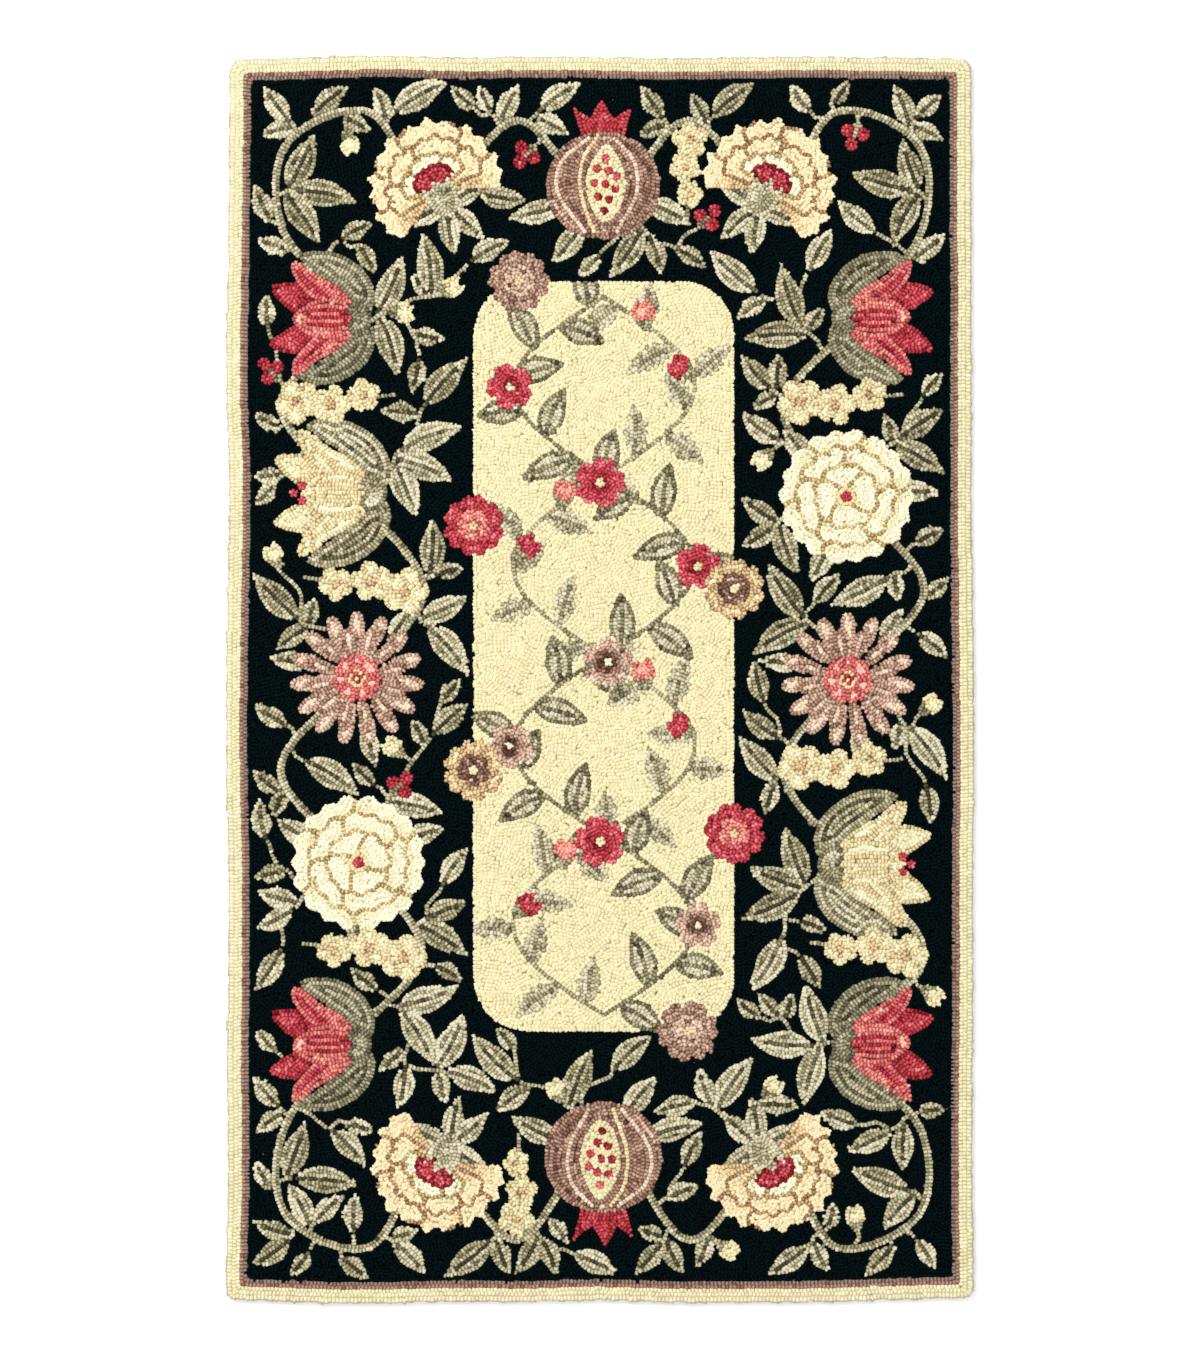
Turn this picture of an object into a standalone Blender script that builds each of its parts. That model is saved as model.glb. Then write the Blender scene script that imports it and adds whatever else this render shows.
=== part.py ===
"""A hooked rug, pile side up on the floor: one piece of wool loops on its foundation cloth.

The frame is +X to the rug's right, +Y along its length and +Z up, in metres. The origin is the
middle of the rug's bounding box, on the floor.

The outline is a rounded rectangle pushed in and out by the small waves that hand hooking
leaves along each edge. The rim rolls over as the outermost row of loops does, the five
rows that run round the border stand up as ribs, and the field inside them is level.
"""

from math import cos, pi, sin

import bpy

# The cut of the rug
RUG_WIDTH = 0.9144
RUG_LENGTH = 1.5310
CORNER_RADIUS = 0.0110
SHARPEST_CORNER = 0.0012

# The pile
PILE_TOP = 0.0100
ROW_PITCH = 0.0047
BORDER_ROWS = 5
RIB_HEIGHT = 0.0009

# How finely the outline is stepped
LONG_SIDE_STEPS = 36
SHORT_SIDE_STEPS = 22
CORNER_STEPS = 5

MM = 0.001

# How far each long edge stands out from its mean line.
# along: from -1 at the near end to 1 at the far end; left, right: millimetres outwards
LONG_EDGES = {
    "along": (-0.97, -0.81, -0.65, -0.49, -0.32, -0.16, 0.00, 0.16, 0.32, 0.49, 0.65, 0.81, 0.97),
    "left": (3.0, -0.2, 0.4, 0.1, -0.6, 2.1, 2.1, 0.1, -1.5, 2.2, 0.4, -1.1, -2.6),
    "right": (1.4, -0.6, 0.1, 0.8, 0.4, 2.1, 1.1, -0.3, -1.4, -1.1, -1.5, -2.1, -2.3),
}

# How far each short edge stands out from its mean line.
# along: from -1 at the left to 1 at the right; near, far: millimetres outwards
SHORT_EDGES = {
    "along": (-0.95, -0.76, -0.57, -0.38, -0.19, 0.00, 0.19, 0.38, 0.57, 0.76, 0.95),
    "near": (-2.0, 1.3, 1.7, -0.3, 0.6, -1.8, 1.1, 0.5, 0.4, -2.1, -4.6),
    "far": (-2.4, 0.4, 2.4, -0.4, 1.6, 0.7, -1.0, 0.2, 1.1, 0.2, -0.9),
}

# The rolled rim, from the floor up to the crest of the outermost row.
# inset: millimetres in from the outline; height: millimetres above the floor
RIM = {
    "inset": (1.8, 0.5, 0.0, 0.2, 0.9),
    "height": (0.0, 1.1, 3.6, 6.4, 8.6),
}

WOOL_COLOUR = (0.030, 0.034, 0.033, 1.0)
WOOL_ROUGHNESS = 0.92


def clear_scene():
    for old in list(bpy.data.objects):
        bpy.data.objects.remove(old, do_unlink=True)


def wool():
    material = bpy.data.materials.new("wool")
    material.use_nodes = True
    shader = material.node_tree.nodes["Principled BSDF"]
    shader.inputs["Base Color"].default_value = WOOL_COLOUR
    shader.inputs["Roughness"].default_value = WOOL_ROUGHNESS
    shader.inputs["Metallic"].default_value = 0.0
    return material


def smooth_through(places, values, at):
    """The value at a place, on a smooth curve through (places, values), level past both ends."""
    if at <= places[0]:
        return values[0]
    if at >= places[-1]:
        return values[-1]
    i = max(k for k in range(len(places) - 1) if places[k] <= at)
    before, after = values[max(i - 1, 0)], values[min(i + 2, len(values) - 1)]
    start, end = values[i], values[i + 1]
    t = (at - places[i]) / (places[i + 1] - places[i])
    rise_in = (end - before) / 2
    rise_out = (after - start) / 2
    return (
        start * (2 * t**3 - 3 * t**2 + 1)
        + end * (3 * t**2 - 2 * t**3)
        + rise_in * (t**3 - 2 * t**2 + t)
        + rise_out * (t**3 - t**2)
    )


def uneven(x, y):
    """Moves a point of the plain rectangle to where the hooking has pulled it."""
    across = x / (RUG_WIDTH / 2)
    along = y / (RUG_LENGTH / 2)
    long_edge = LONG_EDGES["right" if x > 0 else "left"]
    short_edge = SHORT_EDGES["far" if y > 0 else "near"]
    out_x = smooth_through(LONG_EDGES["along"], long_edge, along) * MM
    out_y = smooth_through(SHORT_EDGES["along"], short_edge, across) * MM
    return x + across * out_x, y + along * out_y


def corner_arc(middle_x, middle_y, radius, quarter):
    """The points of one rounded corner, anticlockwise, quarter 0 being right and far."""
    for step in range(CORNER_STEPS + 1):
        angle = (quarter + step / CORNER_STEPS) * pi / 2
        yield middle_x + radius * cos(angle), middle_y + radius * sin(angle)


def ring(inset):
    """A closed loop of points at an inset from the outline, anticlockwise seen from above."""
    radius = max(CORNER_RADIUS - inset, SHARPEST_CORNER)
    reach_x = RUG_WIDTH / 2 - inset - radius
    reach_y = RUG_LENGTH / 2 - inset - radius
    corners = ((1, 1), (-1, 1), (-1, -1), (1, -1))
    steps_after = (SHORT_SIDE_STEPS, LONG_SIDE_STEPS, SHORT_SIDE_STEPS, LONG_SIDE_STEPS)
    points = []
    for quarter, (side_x, side_y) in enumerate(corners):
        points += corner_arc(side_x * reach_x, side_y * reach_y, radius, quarter)
        start = points[-1]
        next_x, next_y = corners[(quarter + 1) % 4]
        end = next(corner_arc(next_x * reach_x, next_y * reach_y, radius, quarter + 1))
        for step in range(1, steps_after[quarter]):
            share = step / steps_after[quarter]
            points.append(tuple(a + (b - a) * share for a, b in zip(start, end)))
    return [uneven(x, y) for x, y in points]


def section():
    """The cut through the border, from the floor at the rim to the level field: inset, height."""
    cut = [(inset * MM, height * MM) for inset, height in zip(RIM["inset"], RIM["height"])]
    for row in range(BORDER_ROWS):
        cut.append(((row + 0.5) * ROW_PITCH, PILE_TOP))
        cut.append(((row + 1.0) * ROW_PITCH, PILE_TOP - RIB_HEIGHT))
    cut.append(((BORDER_ROWS + 0.5) * ROW_PITCH, PILE_TOP))
    return cut


def hooked_rug():
    """The whole rug: rings of points joined into its rim and ribs, closed by two level faces."""
    rings = []
    for inset, height in section():
        rings.append([(x, y, height) for x, y in ring(inset)])
    around = len(rings[0])
    points = [point for loop in rings for point in loop]
    faces = []
    for level in range(len(rings) - 1):
        for i in range(around):
            j = (i + 1) % around
            low, high = level * around, (level + 1) * around
            faces.append((low + i, low + j, high + j, high + i))
    faces.append(tuple(reversed(range(around))))
    faces.append(tuple(range((len(rings) - 1) * around, len(rings) * around)))
    centred = centre_on_box(points)
    mesh = bpy.data.meshes.new("hooked_rug")
    mesh.from_pydata(centred, [], faces)
    mesh.materials.append(wool())
    mesh.shade_smooth()
    mesh.set_sharp_from_angle(angle=0.7)
    rug = bpy.data.objects.new("hooked_rug", mesh)
    bpy.context.scene.collection.objects.link(rug)
    return rug


def centre_on_box(points):
    """Shifts the points so that the origin is the middle of their box seen from above."""
    middle = [(min(p[k] for p in points) + max(p[k] for p in points)) / 2 for k in (0, 1)]
    return [(x - middle[0], y - middle[1], z) for x, y, z in points]


clear_scene()
hooked_rug()
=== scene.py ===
"""The looks of a hooked rug: every loop of its wool pile, hooked row by row round the outlines
of a border of leaves and blooms and a garlanded panel, on a cotton foundation cloth.

The pattern is laid out in millimetres on a canvas seen from above, each outline is hooked in
rows from its edge inwards as a rug hooker works, and each loop of each row becomes a small
arched piece of pile in the colour of its yarn, with painted shade deep in the pile and a painted highlight
at its tip.
"""

import math

import bpy
import numpy as np
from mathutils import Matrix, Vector


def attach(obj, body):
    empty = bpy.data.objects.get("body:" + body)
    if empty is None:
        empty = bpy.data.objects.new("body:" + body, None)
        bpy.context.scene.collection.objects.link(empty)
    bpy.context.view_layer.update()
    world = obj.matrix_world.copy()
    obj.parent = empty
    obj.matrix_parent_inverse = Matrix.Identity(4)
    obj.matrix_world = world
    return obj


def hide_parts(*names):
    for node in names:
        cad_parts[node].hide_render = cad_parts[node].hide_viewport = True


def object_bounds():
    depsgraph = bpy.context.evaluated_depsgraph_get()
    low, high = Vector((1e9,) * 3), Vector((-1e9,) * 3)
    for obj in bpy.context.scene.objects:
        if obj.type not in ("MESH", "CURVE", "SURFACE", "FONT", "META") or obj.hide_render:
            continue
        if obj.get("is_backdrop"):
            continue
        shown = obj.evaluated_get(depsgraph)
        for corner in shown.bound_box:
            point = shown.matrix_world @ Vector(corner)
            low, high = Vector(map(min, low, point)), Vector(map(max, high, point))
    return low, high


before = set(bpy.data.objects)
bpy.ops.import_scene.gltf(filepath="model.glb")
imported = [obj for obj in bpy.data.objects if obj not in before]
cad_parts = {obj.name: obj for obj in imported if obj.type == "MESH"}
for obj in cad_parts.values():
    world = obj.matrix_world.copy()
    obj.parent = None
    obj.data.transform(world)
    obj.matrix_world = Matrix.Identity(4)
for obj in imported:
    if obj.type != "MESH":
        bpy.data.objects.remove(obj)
cad_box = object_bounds()

MM = 0.001

# ---- The wools and the canvas ----

# In millimetres: how far apart the loops are, how near another may come where rows are laid and
# where gaps are filled, and how wide the rows are that follow the rim
PITCH = 4.6
CLEAR = 0.72 * PITCH
GAP_CLEAR = 0.81 * PITCH
BAND_ROWS = 3
BORDER = (BAND_ROWS + 2) * PITCH

# The wools: how much the shades of each are mixed from loop to loop, and its shades, darkest first
WOOLS = {
    "band": (0.06, "CBBA86 D8CC9B E0D6AD E6DEB9 EBE6C7"),
    "panel": (0.05, "CAB985 DDCE9F E5D9AE EAE0B8 EFE7C8"),
    "line_outer": (0.10, "5E3C2E 835C4C 9E7C6B AE8C7A"),
    "line_inner": (0.10, "58443A 725E52 867265 968374"),
    "ground": (0.10, "000506 01090A 020D0F 041213"),
    "sage": (0.13, "454130 656048 867F62 A39B7A BEB697 D7CFB3"),
    "olive": (0.13, "413F2D 605C46 7F795F 9C957A B8B092"),
    "ivory": (0.10, "B2986A CFBC8E DFD3A8 E7E0BB EEE9CC"),
    "gold": (0.10, "967652 B39570 D0B286 E2CA9C EFDDB6"),
    "rose": (0.16, "741C22 962C34 B03C44 C4505A DA7478"),
    "pink": (0.13, "A84A4A C66664 DC8678 EEA28E F8BCA6"),
    "mauve": (0.11, "583A30 7A584A 9A7866 B69480 CFB09A E6D0B8"),
}

# The tone of plain wool, from 0, the wool's darkest, to 1
PLAIN = 0.6

# The bare floor on the canvas round the rug, in millimetres
MARGIN = 12

# Plain wool is hooked in patches: how far their edges stray and over what length, in millimetres
STRAY = 9
STRAY_LENGTH = 30


def curve(points, steps=8, closed=False):
    """A smooth line through given points, a few steps to each stretch."""
    p = np.asarray(points, float)
    n = len(p)
    if closed:
        padded = np.vstack([p[-1:], p, p[:2]])
    else:
        padded = np.vstack([2 * p[:1] - p[1:2], p, 2 * p[-1:] - p[-2:-1]])
    t = (np.arange(steps) / steps)[:, None]
    out = []
    for i in range(n if closed else n - 1):
        a, b, c, d = padded[i : i + 4]
        square, cube = 2 * a - 5 * b + 4 * c - d, 3 * b - a - 3 * c + d
        out.append(0.5 * (2 * b + (c - a) * t + square * t**2 + cube * t**3))
    if not closed:
        out.append(p[-1:])
    return np.vstack(out)


def polar(radius, degrees):
    a = np.radians(degrees)
    return np.stack([radius * np.cos(a), radius * np.sin(a)], -1)


class Place:
    """Where a motif sits: its middle, its turn in degrees, its size and whether it is mirrored."""

    def __init__(self, x, y, turn=0.0, size=1.0, mirror=False):
        self.x, self.y, self.turn, self.size, self.mirror = x, y, turn, size, mirror

    def at(self, points):
        p = np.array(points, float) * self.size
        if self.mirror:
            p[..., 0] = -p[..., 0]
        a = math.radians(self.turn)
        c, s = math.cos(a), math.sin(a)
        return np.stack([self.x + c * p[..., 0] - s * p[..., 1], self.y + s * p[..., 0] + c * p[..., 1]], -1)

    def back(self, x, y):
        """The motif's own coordinates of a spot on the rug."""
        a = math.radians(self.turn)
        c, s = math.cos(a), math.sin(a)
        dx, dy = x - self.x, y - self.y
        u, v = (c * dx + s * dy) / self.size, (-s * dx + c * dy) / self.size
        return (-u if self.mirror else u), v


class Canvas:
    """The rug from above on a 1 mm grid: the area that each spot belongs to and its shade."""

    def __init__(self, outline):
        self.low = np.floor(outline.min(0)) - MARGIN
        size = np.ceil(outline.max(0)) + MARGIN - self.low
        self.nx, self.ny = int(size[0]) + 1, int(size[1]) + 1
        self.x = self.low[0] + np.arange(self.nx)
        self.y = self.low[1] + np.arange(self.ny)
        self.area = np.zeros((self.ny, self.nx), np.int32)
        self.shade = np.zeros((self.ny, self.nx), np.float32)
        self.wool = ["ground"]
        self.rim = [None]
        self.stripe = [0.0]
        self.rows = []

    def bands(self, outline, names):
        """Lays bands round the rug from its outline inwards, each a number of rows wide."""
        self.fill(outline, names[0][0], PLAIN)
        flat = edge_distance(self.area)
        for _ in range(3):
            flat = soften(flat)
        self.from_rim = np.where(self.area > 0, flat, 0)
        self.rim_slope = np.gradient(self.from_rim)
        inset = 0
        for wool, rows in names:
            self.area[self.from_rim > inset] = self.new_area(wool)
            self.shade[self.from_rim > inset] = PLAIN
            inset += rows * PITCH
        self.area[self.from_rim > inset] = self.new_area("ground")
        return len(self.wool) - 1

    def window(self, points, pad=1):
        low = np.floor(points.min(0) - self.low).astype(int) - pad
        high = np.ceil(points.max(0) - self.low).astype(int) + pad + 1
        low = np.maximum(low, 0)
        return slice(low[1], min(high[1], self.ny)), slice(low[0], min(high[0], self.nx))

    def inside(self, points):
        """A window round a closed outline, and the spots of it that lie inside."""
        rows, cols = self.window(points)
        x, y = np.meshgrid(self.x[cols], self.y[rows])
        hit = np.zeros(x.shape, bool)
        for (x0, y0), (x1, y1) in zip(points, np.roll(points, -1, 0)):
            if y0 == y1:
                continue
            crosses = (y0 > y) != (y1 > y)
            hit ^= crosses & (x < (x1 - x0) * (y - y0) / (y1 - y0) + x0)
        return (rows, cols), hit, x, y

    def cells(self, x, y):
        """The grid's line and column at spots on the rug."""
        return np.rint(y - self.low[1]).astype(int), np.rint(x - self.low[0]).astype(int)

    def new_area(self, wool, rim=None, stripe=0.0):
        self.wool.append(wool)
        self.rim.append(rim)
        self.stripe.append(stripe)
        return len(self.wool) - 1

    def fill(self, points, wool, shade, rim=None, stripe=0.0, on=None):
        """Gives what a closed outline holds to one wool, and what it lays down a name.

        shade is from 0, the wool's darkest, to 1, or a function that works it out from x and y.
        rim is the shade of the outermost row, stripe how much darker every other row is, and on
        the areas that may be covered.
        """
        points = np.asarray(points, float)
        spot, hit, x, y = self.inside(points)
        if on is not None:
            hit &= np.isin(self.area[spot], on)
        if not hit.any():
            return 0
        name = self.new_area(wool, rim, stripe)
        self.area[spot][hit] = name
        value = shade(x, y) if callable(shade) else np.full(x.shape, shade)
        self.shade[spot][hit] = value[hit]
        return name

    def row(self, points, wool, shade, on=None):
        """Hooks one row along a line."""
        name = self.new_area(wool)
        points = np.asarray(points, float)
        spot, near = self.beside(points, PITCH / 2)
        if on is not None:
            near &= np.isin(self.area[spot], on)
        self.area[spot][near] = name
        self.shade[spot][near] = shade
        self.rows.append((points, name))
        return name

    def beside(self, points, reach):
        """A window round a line, and the spots of it that lie within reach of the line."""
        rows, cols = self.window(points, int(reach) + 2)
        x, y = np.meshgrid(self.x[cols], self.y[rows])
        best = np.full(x.shape, np.inf)
        for a, b in zip(points[:-1], points[1:]):
            d = b - a
            t = np.clip(((x - a[0]) * d[0] + (y - a[1]) * d[1]) / max(d @ d, 1e-9), 0, 1)
            best = np.minimum(best, (x - a[0] - t * d[0]) ** 2 + (y - a[1] - t * d[1]) ** 2)
        return (rows, cols), best < reach * reach


def smooth_noise(shape, seed):
    """Noise from -1 to 1 that changes over the length that the edges of patches stray in."""
    coarse = np.random.default_rng(seed).uniform(-1, 1, [count // STRAY_LENGTH + 3 for count in shape])
    y, x = (np.arange(count) / STRAY_LENGTH for count in shape)
    i, j = y.astype(int), x.astype(int)
    fy, fx = y - i, x - j
    fy, fx = (3 * fy**2 - 2 * fy**3)[:, None], (3 * fx**2 - 2 * fx**3)[None]
    a, b = coarse[np.ix_(i, j)], coarse[np.ix_(i, j + 1)]
    c, d = coarse[np.ix_(i + 1, j)], coarse[np.ix_(i + 1, j + 1)]
    return (a * (1 - fx) + b * fx) * (1 - fy) + (c * (1 - fx) + d * fx) * fy


def apart(step, count):
    """The parts of a row of spots that lie a step on from others, and those others."""
    return slice(max(step, 0), count + min(step, 0)), slice(max(-step, 0), count + min(-step, 0))


def nearest(sx, sy, reach=64):
    """Jump flooding: for each spot the distance to the nearest of the places given in sx and sy."""
    ny, nx = sx.shape
    gy, gx = np.mgrid[0:ny, 0:nx].astype(np.float32)
    best = (sx - gx) ** 2 + (sy - gy) ** 2
    step = reach
    while step >= 1:
        for dy in (-step, 0, step):
            for dx in (-step, 0, step):
                if dx == 0 and dy == 0:
                    continue
                (to_y, from_y), (to_x, from_x) = apart(dy, ny), apart(dx, nx)
                cx, cy = sx[from_y, from_x], sy[from_y, from_x]
                d = (cx - gx[to_y, to_x]) ** 2 + (cy - gy[to_y, to_x]) ** 2
                closer = d < best[to_y, to_x]
                for kept, found in ((best, d), (sx, cx), (sy, cy)):
                    kept[to_y, to_x][closer] = found[closer]
        step //= 2
    return np.sqrt(best)


def edge_distance(area):
    """For each spot, how far it is in millimetres to the edge of its own area."""
    sx, sy = np.full((2, *area.shape), 1e6, np.float32)
    for di, dj in ((0, 1), (1, 0)):
        i, j = np.nonzero(area[di:, dj:] != area[: len(area) - di, : area.shape[1] - dj])
        for line, column in ((i, j), (i + di, j + dj)):
            sx[line, column], sy[line, column] = j + dj / 2, i + di / 2
    return nearest(sx, sy)


def patches(canvas, name, size, seed):
    """Splits an area into uneven patches, so that its rows turn this way and that."""
    here = canvas.area == name
    gx, gy = np.meshgrid(canvas.x, canvas.y)
    wx = gx + STRAY * smooth_noise(here.shape, seed + 1)
    wy = gy + STRAY * smooth_noise(here.shape, seed + 2)
    columns, lines = int(canvas.nx / size) + 6, int(canvas.ny / size) + 6
    jitter = np.random.default_rng(seed).uniform(0.1, 0.9, (lines, columns, 2))
    ci, cj = ((wy - canvas.low[1]) / size).astype(int), ((wx - canvas.low[0]) / size).astype(int)
    best = np.full(here.shape, np.inf)
    owner = np.zeros(here.shape, np.int32)
    for di in (-1, 0, 1):
        for dj in (-1, 0, 1):
            i, j = np.clip(ci + di, 0, lines - 1), np.clip(cj + dj, 0, columns - 1)
            sx = canvas.low[0] + (j + jitter[i, j, 0]) * size
            sy = canvas.low[1] + (i + jitter[i, j, 1]) * size
            d = (wx - sx) ** 2 + (wy - sy) ** 2
            closer = d < best
            best[closer] = d[closer]
            owner[closer] = (i * columns + j)[closer]
    numbers = np.unique(owner[here])
    table = np.zeros(numbers.max() + 1, np.int32)
    for n in numbers:
        table[n] = canvas.new_area(canvas.wool[name], canvas.rim[name])
    canvas.area[here] = table[owner[here]]


def soften(values):
    """Each value as the mean of the five by five spots round it."""
    for _ in range(2):
        out = values.copy()
        out[2:-2] = sum(values[k : len(values) - 4 + k] for k in range(5)) / 5
        values = out.T
    return values


def lengths_along(points):
    """How far along a line each of its points lies."""
    return np.concatenate([[0], np.cumsum(np.hypot(*np.diff(points, axis=0).T))])


def spots_at(points, run, at):
    """The spots that lie so far along a line, given how far along its points are."""
    return np.stack([np.interp(at, run, points[:, axis]) for axis in (0, 1)], -1)


# ---- Leaves, blooms and fruit ----

# The tones of a leaf: its halves against its own tone, and its midrib, which is darker
HALF_TONES = (0.05, -0.09)
RIB_DARKER = 0.32
# The tones inside an outlined leaf, and of its outline and midrib; and the tone of a soft leaf
OUTLINED = (0.84, 0.36)
SOFT = 0.82


def half_widths(width, t):
    """Half of a leaf's width at shares of its length: widest a little before the middle."""
    return width / 2 * np.sin(np.pi * t**0.85)


def blade(length, width, bend=0.0, steps=14, teeth=0.0):
    """A leaf or petal that grows along +y from (0, 0): its left edge, its midrib, its right edge."""
    t = np.linspace(0, 1, steps)
    half = half_widths(width, t) * (1 - teeth * (np.arange(steps) % 2))
    spine = np.stack([bend * length * t * t, length * t], -1)
    run = np.gradient(spine, axis=0)
    run /= np.hypot(run[:, 0], run[:, 1])[:, None]
    side = np.stack([-run[:, 1], run[:, 0]], -1) * half[:, None]
    return spine + side, spine, spine - side


def fade(place, start, end, low, high):
    """A shade that goes from low at one point of the motif to high at another."""
    sx, sy = start
    dx, dy = end[0] - sx, end[1] - sy

    def shade(x, y):
        u, v = place.back(x, y)
        t = ((u - sx) * dx + (v - sy) * dy) / (dx * dx + dy * dy)
        return low + (high - low) * np.clip(t, 0, 1)

    return shade


def leaf(canvas, place, length, width, bend, tone=0.85, within=-0.34, teeth=0.0, on=None):
    """A leaf in two halves parted by a dark midrib, the outer row of each at one tone."""
    left, spine, right = blade(length, width, bend, teeth=teeth)
    halves = []
    for side, more in zip((left, right), HALF_TONES):
        outline = place.at(np.vstack([side, spine[::-1]]))
        halves.append(canvas.fill(outline, "sage", tone + within + more, rim=tone + more, on=on))
    canvas.row(place.at(spine[:-3]), "sage", min(tone, tone + within) - RIB_DARKER, on=halves)


def outlined_leaf(canvas, place, length, width, bend, on):
    """A pale leaf inside one dark row, with a dark midrib."""
    left, spine, right = blade(length, width, bend)
    outline = place.at(np.vstack([left, right[::-1]]))
    inner, line = OUTLINED
    whole = canvas.fill(outline, "sage", inner, on=on)
    canvas.row(place.at(spine[:-2]), "sage", line, on=[whole])
    canvas.row(outline, "sage", line, on=on + [whole])


def soft_leaf(canvas, place, length, width, bend, on):
    """A pale leaf with a feathered edge."""
    leaf(canvas, place, length, 1.2 * width, bend, tone=SOFT, within=0.04, teeth=0.35, on=on)


def shape(canvas, place, points, wool, shade, rim=None, stripe=0.0):
    """Fills a smooth closed outline."""
    return canvas.fill(place.at(curve(points, 5, closed=True)), wool, shade, rim=rim, stripe=stripe)


def circle(radius, middle=(0, 0), steps=16):
    return np.asarray(middle) + polar(radius, np.arange(steps) * 360 / steps)


def moved(place, x=0.0, y=0.0, turn=0.0, size=1.0, mirror=False):
    """A place given in another place's own coordinates."""
    spot = place.at((x, y))
    facing = -1 if place.mirror else 1
    return Place(spot[0], spot[1], place.turn + facing * turn, place.size * size, place.mirror != mirror)


def outwards(place, radius, turn, size=1.0):
    """The place so far from the middle of a motif on one side of it, facing outwards."""
    x, y = polar(radius, turn + 90)
    return moved(place, x, y, turn, size)


def ring(count, turn=0.0):
    """The turns of a ring of so many petals."""
    return [turn + k * 360 / count for k in range(count)]


def both_sides(*left):
    """A symmetrical outline, from the points up its left side."""
    return left + tuple((-x, y) for x, y in reversed(left) if x)


# Petals of round flowers, each growing along +y from (0, 0)
HEART = both_sides((0, 0), (-15, 12), (-27, 34), (-25, 53), (-11, 62), (0, 56))
LONG = both_sides((0, 0), (-7, 20), (-10, 44), (-5, 60))
FRILL = both_sides((0, 0), (-18, 12), (-33, 32), (-36, 48), (-25, 60), (-12, 57), (0, 63))

# The rings of petals of each round flower, outermost first: shape, count, turn, distance of the
# foot, size, wool, tone at the foot, tone at the tip, tone of the edge
ROUND = {
    "aster": (
        (LONG, 15, 0, 20, 0.95, "mauve", 0.35, 1.0, 0.62),
        (LONG, 12, 12, 12, 0.78, "mauve", 0.25, 0.9, 0.48),
        (HEART, 7, 0, 4, 0.40, "pink", 0.40, 1.0, 0.30),
    ),
    "rose": ((HEART, 5, 0, 2, 0.44, "rose", 0.15, 0.75, None),),
    "violet": ((HEART, 5, 0, 2, 0.44, "mauve", -0.15, 0.75, None),),
    "rosette": (
        (HEART, 6, 0, 4, 0.56, "rose", 0.25, 0.8, 0.55),
        (HEART, 5, 30, 0, 0.34, "pink", 0.3, 0.9, 0.4),
    ),
    "dusk": (
        (HEART, 6, 0, 4, 0.56, "mauve", 0.2, 0.6, 0.45),
        (HEART, 5, 30, 0, 0.34, "mauve", 0.7, 0.2, 0.8),
    ),
    "amber": (
        (HEART, 6, 0, 4, 0.56, "gold", 0.1, 0.8, 0.4),
        (HEART, 5, 30, 0, 0.34, "mauve", 0.3, 0.7, 0.2),
    ),
}
# The disc in the middle of each: its radius, wool and tone
HEARTS = {
    "aster": (10, "gold", 0.6),
    "rose": (5.5, "ivory", 0.5),
    "violet": (4.5, "ivory", 0.7),
    "rosette": (6, "gold", 0.7),
    "dusk": (6, "gold", 0.7),
    "amber": (6, "gold", 0.9),
}


def flower(canvas, place, kind):
    """A round flower of one or more rings of petals."""
    for points, count, turn, foot, size, wool, low, high, rim in ROUND[kind]:
        for angle in ring(count, turn):
            one = outwards(place, foot, angle, size)
            shape(canvas, one, points, wool, fade(one, (0, 4), (0, 38), low, high), rim=rim)
    radius, wool, tone = HEARTS[kind]
    shape(canvas, place, circle(radius), wool, tone)


def overlap(canvas, laid, one, points, wool, shade, line):
    """Lays a petal on those laid before it, with one dark row behind its edge where it covers them."""
    outline = curve(points, 5, closed=True)
    middle = outline.mean(0)
    reach = np.abs(outline - middle).max(0)
    behind = middle + (outline - middle) * (1 + PITCH / 2 / (reach * one.size))
    if laid:
        laid.append(canvas.row(one.at(np.vstack([behind, behind[:1]])), wool, line, on=laid))
    laid.append(canvas.fill(one.at(outline), wool, shade))


def peony(canvas, place):
    """Three rings of broad frilled petals, pale right out to the edge."""
    for turn in (35, 150, 265):
        leaf(canvas, outwards(place, 58, turn), 58, 28, 0.1)
    petals = []
    for count, turn, foot, size, base in ((6, 0, 17, 1.05, 32), (5, 24, 6, 0.86, 28), (4, 0, 0, 0.60, 12)):
        for angle in ring(count, turn):
            one = outwards(place, foot, angle, size)
            shade = fade(one, (0, base), (0, base + 20), 0.40, 1.0)
            overlap(canvas, petals, one, FRILL, "ivory", shade, 0.10)
    shape(canvas, place, circle(12.5), "gold", 0.75)
    shape(canvas, place, circle(7), "rose", 0.55)


def aster(canvas, place):
    """Many long narrow petals round a pink middle, with four red loops in it."""
    for turn in (-40, 75, 190):
        leaf(canvas, outwards(place, 56, turn), 52, 23, -0.1)
    flower(canvas, place, "aster")
    for spot in polar(5, np.arange(4) * 90 + 15):
        dot = place.at(spot)
        canvas.row([dot - (1.5, 0), dot + (1.5, 0)], "rose", 0.5)


# A lily from the side: its left sepal, a petal at the back, its left petal, its front petal, its cup
SEPAL = (
    (-4, -46), (-34, -54), (-66, -38), (-88, -4), (-92, 30),
    (-84, 50), (-68, 34), (-50, 8), (-28, -12), (-6, -24),
)
BACK_PETAL = ((0, 0), (-17, 22), (-22, 50), (-12, 78), (4, 94), (15, 72), (20, 44), (14, 16))
SIDE_PETAL = (
    (4, -6), (-16, 14), (-34, 40), (-58, 58), (-78, 60),
    (-74, 44), (-58, 24), (-42, -4), (-22, -24), (-2, -30),
)
FRONT_PETAL = ((0, -34), (-21, -18), (-29, 10), (-22, 40), (-3, 60), (18, 42), (27, 12), (20, -18))
CUP = both_sides((0, -50), (-16, -42), (-22, -24), (-9, -16), (0, -24))


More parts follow.
